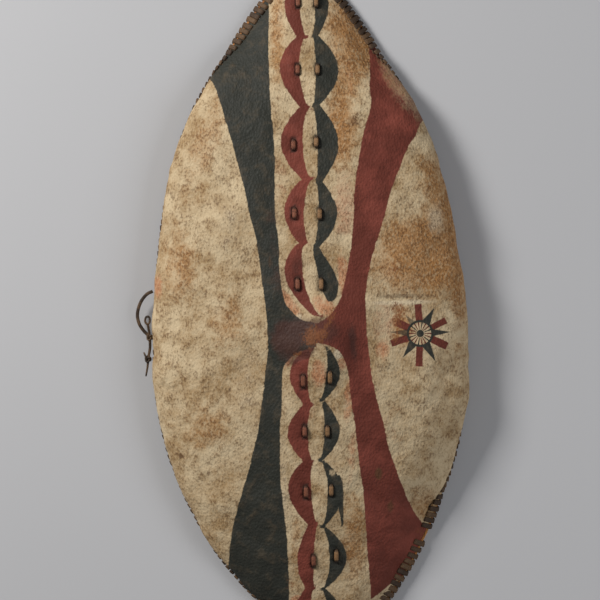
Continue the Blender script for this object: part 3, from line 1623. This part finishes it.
@dataclass
class SpineStave:
    """The stave down the back, whittled thin to its ends and bent clear of the boss for the hand."""

    form: HideForm
    width: float = 18.0
    thickness: float = 11.0
    end_width: float = 13.0
    end_thickness: float = 6.0
    gap: float = 0.7
    top_y: float = 478.0
    low_y: float = -474.0
    grip: tuple[float, float] = (24.0, -88.0)
    grip_ease: float = 24.0
    grip_drop: float = 13.0
    step: float = 5.0
    sides: int = 20
    squareness: float = 3.4
    whittling: float = 0.02

    def middle_x(self, y: float) -> float:
        """The stave's middle line, half way between each lashing's two stitches."""
        knots = [((a + b) / 2, (c + d) / 2) for (a, b), (c, d) in ((it.x, it.y) for it in LASHINGS)][::-1]
        return float(np.interp(y, [knot[1] for knot in knots], [knot[0] for knot in knots]))

    def at(self, y: float) -> tuple[float, float, float, float]:
        """The stave's middle, half width, top and bottom at a height up the shield.

        Args:
            y: The height up the shield.

        Returns:
            The middle's place across, the half width, the top and the bottom.
        """
        end = abs(y / self.top_y) ** 2
        half = lerp(self.width, self.end_width, end) / 2
        thick = lerp(self.thickness, self.end_thickness, end)
        high, low = self.grip
        from_y = (high + low) / 2 if low < y < high else y
        seat_x = self.middle_x(from_y)
        seat = min(self.form.back_height(seat_x + across, from_y) for across in (-half, 0, half))
        ramps = (min(max(way / self.grip_ease, 0), 1) for way in (high - y, y - low))
        top = seat - self.gap - min(ramps) * self.grip_drop
        return self.middle_x(y), half, top, top - thick

    def build(self, bench: Bench) -> bpy.types.Object:
        """Builds the stave with whittled edges and rounded ends.

        Args:
            bench: Where the layout lies in the frame.

        Returns:
            The stave.
        """
        heights = np.linspace(self.low_y, self.top_y, round((self.top_y - self.low_y) / self.step))
        chance = random.Random(5)
        rings = []
        for y in heights:
            x, half, top, bottom = self.at(float(y))
            end = min(1.0, (min(y - self.low_y, self.top_y - y) + 2.0) / 8.0) ** 0.5
            section = oval(2 * half * end, (top - bottom) * end, self.sides, self.squareness)
            section = section * (1 - self.whittling * np.array([[chance.random()] for _ in section]))
            level = np.full(self.sides, y)
            rings.append(np.stack([x + section[:, 0], level, (top + bottom) / 2 + section[:, 1]], -1))
        faces = ring_faces(len(rings), self.sides, False)
        return bench.make("spine_stave_wood", np.concatenate(rings), faces)


@dataclass
class StaveLashing:
    """One thong that ties the stave on, seen on the face as two short stitches."""

    lashing: Lashing
    number: int
    width: float = 6.4
    thick: float = 3.0
    arch: float = 1.8
    narrowing: float = 0.35
    slack: float = 0.8

    def build(self, bench: Bench, form: HideForm, stave: SpineStave) -> bpy.types.Object:
        """Builds the thong as one closed ring.

        Args:
            bench: Where the layout lies in the frame.
            form: The hide's form.
            stave: The stave that it ties on.

        Returns:
            The thong.
        """
        ends = self.lashing.ends()
        half = self.thick / 2
        face = [np.array([x, y, float(form.height(x, y)) + half + 0.1]) for x, y in ends]
        behind = [np.array([x, y, stave.at(y)[3] - half - self.slack]) for x, y in ends]
        route = [
            *self._stitch(face[0], face[1]), self._inside(face[1], behind[1]), behind[1],
            (behind[1] + behind[2]) / 2 - [0, 0, self.slack], behind[2], self._inside(face[2], behind[2]),
            *self._stitch(face[2], face[3]), self._inside(face[3], behind[3]), behind[3],
            (behind[3] + behind[0]) / 2 - [0, 0, self.slack], behind[0], self._inside(face[0], behind[0]),
        ]
        path = smooth_run(route, 5, True)
        swell = 1 - self.narrowing * self._grime(path)
        points, faces = sweep(path, oval(self.width, self.thick, 10, 2.2), (1, 0, 0), True, swell)
        piece = bench.make(f"lashing_thong_{self.number:02d}", points, faces)
        mark(piece, "tint", np.where(points[:, 0] < sum(self.lashing.x) / 2, 1.0, 0.0))
        low = float(form.height(*ends[0])) - 1
        mark(piece, "shade", ease(points[:, 2], low, low + 4))
        mark(piece, "grime", self._grime(points))
        return piece

    def _stitch(self, start: Points, end: Points) -> list[Points]:
        """The part of the thong that shows on the face, arched between its two holes.

        Args:
            start: The upper or lower hole, where the stitch begins.
            end: The hole where it ends.

        Returns:
            The stitch's points.
        """
        lift = np.array([0, 0, self.arch])
        return [lerp(start, end, 0.06), lerp(start, end, 0.24) + 0.85 * lift, lerp(start, end, 0.5) + lift,
                lerp(start, end, 0.76) + 0.85 * lift, lerp(start, end, 0.94)]

    @staticmethod
    def _inside(face: Points, behind: Points) -> Points:
        """Where the thong is half way through the hide."""
        return lerp(face, behind, 0.5)

    def _grime(self, points: Points) -> Points:
        """How dark the thong is where it goes into its holes.

        Args:
            points: Points of the thong.

        Returns:
            The darkness at each point, 0 to 1.
        """
        dark = np.zeros(len(points))
        for end_x, end_y in self.lashing.ends():
            away = np.hypot(points[:, 0] - end_x, points[:, 1] - end_y)
            dark = np.maximum(dark, ease(away, 4.5, 1.5))
        return dark * 0.8


# ---------------------------------------------------------------- the carrying thong


@dataclass
class CarryThong:
    """The carrying thong at the left edge: a strap loop, an eyelet, two knots and two tails."""

    form: HideForm
    stand: float = 3.4
    width: float = 5.0
    thick: float = 2.2
    loop: tuple[tuple[float, float, float], ...] = (
        (0, 25, 17), (-9, 20, 17), (-17, 8, 16), (-20.5, -8, 15),
        (-17.5, -22, 15), (-10, -33, 15), (-1, -41, 16),
    )
    eyelet: tuple[float, float, float] = (-5.5, -17, 19)
    eyelet_radius: float = 4.4
    upper_knot: tuple[float, float, float] = (-2, -41.5, 16)
    lower_knot: tuple[float, float, float] = (-4.5, -73, 15)
    short_tail: tuple[float, float, float] = (-10.5, -63.5, 14)
    long_tail: tuple[float, float, float] = (-8.5, -98, 13)
    knot_radius: float = 4.6
    hanging_bend: tuple[float, float, float] = (-1.5, -57, 15.5)
    short_bend: tuple[float, float, float] = (-8, -69, 15)
    long_bend: tuple[float, float, float] = (-5.5, -84, 14)

    def spot(self, place: Sequence[float]) -> Points:
        """Turns a place measured out from the left edge into the layout."""
        out, y, z = place
        edge = self.form.axis_x(y) - float(self.form.half_width(self.form.left, y))
        return np.array([edge - self.stand + out, y, z])

    def build(self, bench: Bench) -> list[bpy.types.Object]:
        """Builds the strap with its knots, and the tails.

        Args:
            bench: Where the layout lies in the frame.

        Returns:
            The strap with its knots, and the tails.
        """
        strap = self._strip([self.spot(place) for place in self.loop], self.width, self.thick)
        eye_x, eye_y, eye_z = self.spot(self.eyelet)
        turn = np.linspace(0, 2 * math.pi, 12, endpoint=False)
        ring = np.stack([
            eye_x + self.eyelet_radius * 0.8 * np.cos(turn), eye_y + self.eyelet_radius * 1.25 * np.sin(turn),
            np.full(12, eye_z),
        ], -1)
        eyelet = sweep(smooth_run(ring, 3, True), oval(3.2, 2.2, 8), (1, 0, 0), True)
        stem = self._strip([
            self.spot(self.eyelet) - [0, self.eyelet_radius, 0],
            lerp(self.spot(self.eyelet), self.spot(self.upper_knot), 0.6), self.spot(self.upper_knot),
        ], 3.4, 2.2)
        upper = self._knot(self.spot(self.upper_knot))
        lower = self._knot(self.spot(self.lower_knot))
        hanging = self._strip([
            self.spot(self.upper_knot), self.spot(self.hanging_bend), self.spot(self.lower_knot),
        ], 4.2, 2.2)
        short = self._strip([
            self.spot(self.lower_knot), self.spot(self.short_bend), self.spot(self.short_tail),
        ], 3.8, 2.0, 0.6)
        long = self._strip([
            self.spot(self.lower_knot), self.spot(self.long_bend), self.spot(self.long_tail),
        ], 4.2, 2.0, 0.55)
        pieces = []
        groups = {
            "carrying_strap": (strap, eyelet, stem, upper),
            "carrying_tails": (hanging, lower, short, long),
        }
        for name, parts in groups.items():
            points, faces = join(parts)
            piece = bench.make(name, points, faces)
            mark(piece, "shade", 0.5 + 0.5 * Ripple(41, 14.0).at(points[:, 0], points[:, 1]))
            mark(piece, "grime", np.zeros(len(points)))
            pieces.append(piece)
        return pieces

    @staticmethod
    def _strip(corners: Sequence[Points], width: float, thick: float,
               taper: float = 1.0) -> tuple[Points, list]:
        """A strip of thong through a few points, narrowed towards its end by a share.

        Args:
            corners: The points.
            width: The strip's width.
            thick: The strip's thickness.
            taper: Its width at its end, as a share.

        Returns:
            The strip's corners and faces.
        """
        path = smooth_run(corners, 6)
        swell = np.linspace(1, taper, len(path))
        return sweep(path, oval(width, thick, 10), (1, 0, 0), False, swell)

    def _knot(self, middle: Points) -> tuple[Points, list]:
        """A knot: the thong wound round itself.

        Args:
            middle: The knot's middle.

        Returns:
            The knot's corners and faces.
        """
        turn = np.linspace(0, 2 * math.pi, 40, endpoint=False)
        ring = 1 + 0.42 * np.cos(3 * turn)
        size = self.knot_radius * 0.62
        path = middle + np.stack([
            size * ring * np.cos(2 * turn), size * ring * np.sin(2 * turn), size * 0.75 * np.sin(3 * turn),
        ], -1)
        return sweep(path, oval(3.4, 2.6, 8), (0, 0, 1), True)


# ---------------------------------------------------------------- the studio


@dataclass(frozen=True)
class Lamp:
    """One soft square light: where it hangs, in metres, its width, its power and its colour."""

    name: str
    place: tuple[float, float, float]
    size: float
    power: float
    colour: tuple[float, float, float]
    aim: tuple[float, float, float] = (0, 0, 0.05)

    def hang(self) -> None:
        """Hangs the light, aimed at the shield."""
        lamp = bpy.data.lights.new(self.name, "AREA")
        lamp.shape = "SQUARE"
        lamp.size = self.size
        lamp.energy = self.power
        lamp.color = self.colour
        hung = bpy.data.objects.new(self.name, lamp)
        hung.location = self.place
        sight = Vector(self.aim) - Vector(self.place)
        hung.rotation_euler = sight.to_track_quat("-Z", "Y").to_euler()
        bpy.context.scene.collection.objects.link(hung)


@dataclass
class Studio:
    """The floor, the light and the camera."""

    distance: float = 5.0
    view_width: float = 0.870
    sensor: float = 36.0
    aim: tuple[float, float] = (-18.1, 12.3)
    floor_size: float = 12.0
    floor_tone: Colour = tone(196, 196, 198)
    floor_drop: float = 0.0005
    air_tone: Colour = tone(188, 190, 194)
    air_strength: float = 0.2
    lamps: tuple[Lamp, ...] = (
        Lamp("key_light", (-2.3, 1.7, 1.9), 1.0, 110, (1.0, 0.985, 0.96)),
        Lamp("fill_light", (2.4, -0.6, 2.2), 2.0, 34, (0.97, 0.98, 1.0)),
    )

    def set_up(self, bench: Bench) -> None:
        """Sets the floor, lights and camera round the shield."""
        self._floor()
        self._lights()
        self._camera(bench)

    def _floor(self) -> None:
        """Lays the pale floor."""
        half = self.floor_size / 2
        mesh = bpy.data.meshes.new("floor")
        corners = [(-half, -half, 0), (half, -half, 0), (half, half, 0), (-half, half, 0)]
        mesh.from_pydata(corners, [], [(0, 1, 2, 3)])
        floor = bpy.data.objects.new("floor", mesh)
        bpy.context.scene.collection.objects.link(floor)
        floor.location.z = -self.floor_drop
        pot = Pot("studio_floor")
        pot.fill(self.floor_tone, 0.9, Specular_IOR_Level=0.1)
        mesh.materials.append(pot.material)

    def _lights(self) -> None:
        """Hangs the key light to the upper left and a weaker one to the right, in a dim even light."""
        for lamp in self.lamps:
            lamp.hang()
        world = bpy.data.worlds.new("studio_air")
        world.use_nodes = True
        world.node_tree.nodes["Background"].inputs["Color"].default_value = self.air_tone
        world.node_tree.nodes["Background"].inputs["Strength"].default_value = self.air_strength
        bpy.context.scene.world = world

    def _camera(self, bench: Bench) -> None:
        """Sets the camera straight over the shield."""
        lens = self.sensor / 2 / (self.view_width / 2 / self.distance)
        data = bpy.data.cameras.new("camera")
        data.sensor_width = self.sensor
        data.lens = lens
        data.clip_end = 40
        camera = bpy.data.objects.new("camera", data)
        aim = bench.place(np.array([[*self.aim, 0.0]]))[0]
        camera.location = (aim[0], aim[1], self.distance)
        bpy.context.scene.collection.objects.link(camera)
        bpy.context.scene.camera = camera
        bpy.context.scene.view_settings.view_transform = "Standard"


# ---------------------------------------------------------------- the whole shield


def main() -> None:
    """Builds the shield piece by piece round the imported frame."""
    logging.basicConfig(level=logging.INFO, format="%(name)s: %(message)s")
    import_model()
    form = HideForm()
    bench = Bench.from_frame(form)
    log.info("layout shift: %s", np.round(bench.shift, 3))
    Studio().set_up(bench)
    panel = HidePanel(form)
    settle(panel.build(bench), ["hide_panel"])
    rim = Rim(panel)
    settle(RimRod().build(bench, rim), ["rim_rod"], ROD_WOOD.mix())
    settle(RimLacing().build(bench, rim), ["rim_binding"], LACING_HIDE.mix())
    stave = SpineStave(form)
    settle(stave.build(bench), ["spine_stave"], STAVE_WOOD.mix())
    stitch_finish = STITCH_HIDE.mix()
    for number, lashing in enumerate(LASHINGS, 1):
        thong = StaveLashing(lashing, number).build(bench, form, stave)
        settle(thong, [f"lashing_{number:02d}"], stitch_finish)
    carrying_finish = CARRYING_HIDE.mix()
    for piece in CarryThong(form).build(bench):
        settle(piece, ["carry_thong"], carrying_finish)


if __name__ == "__main__":
    main()
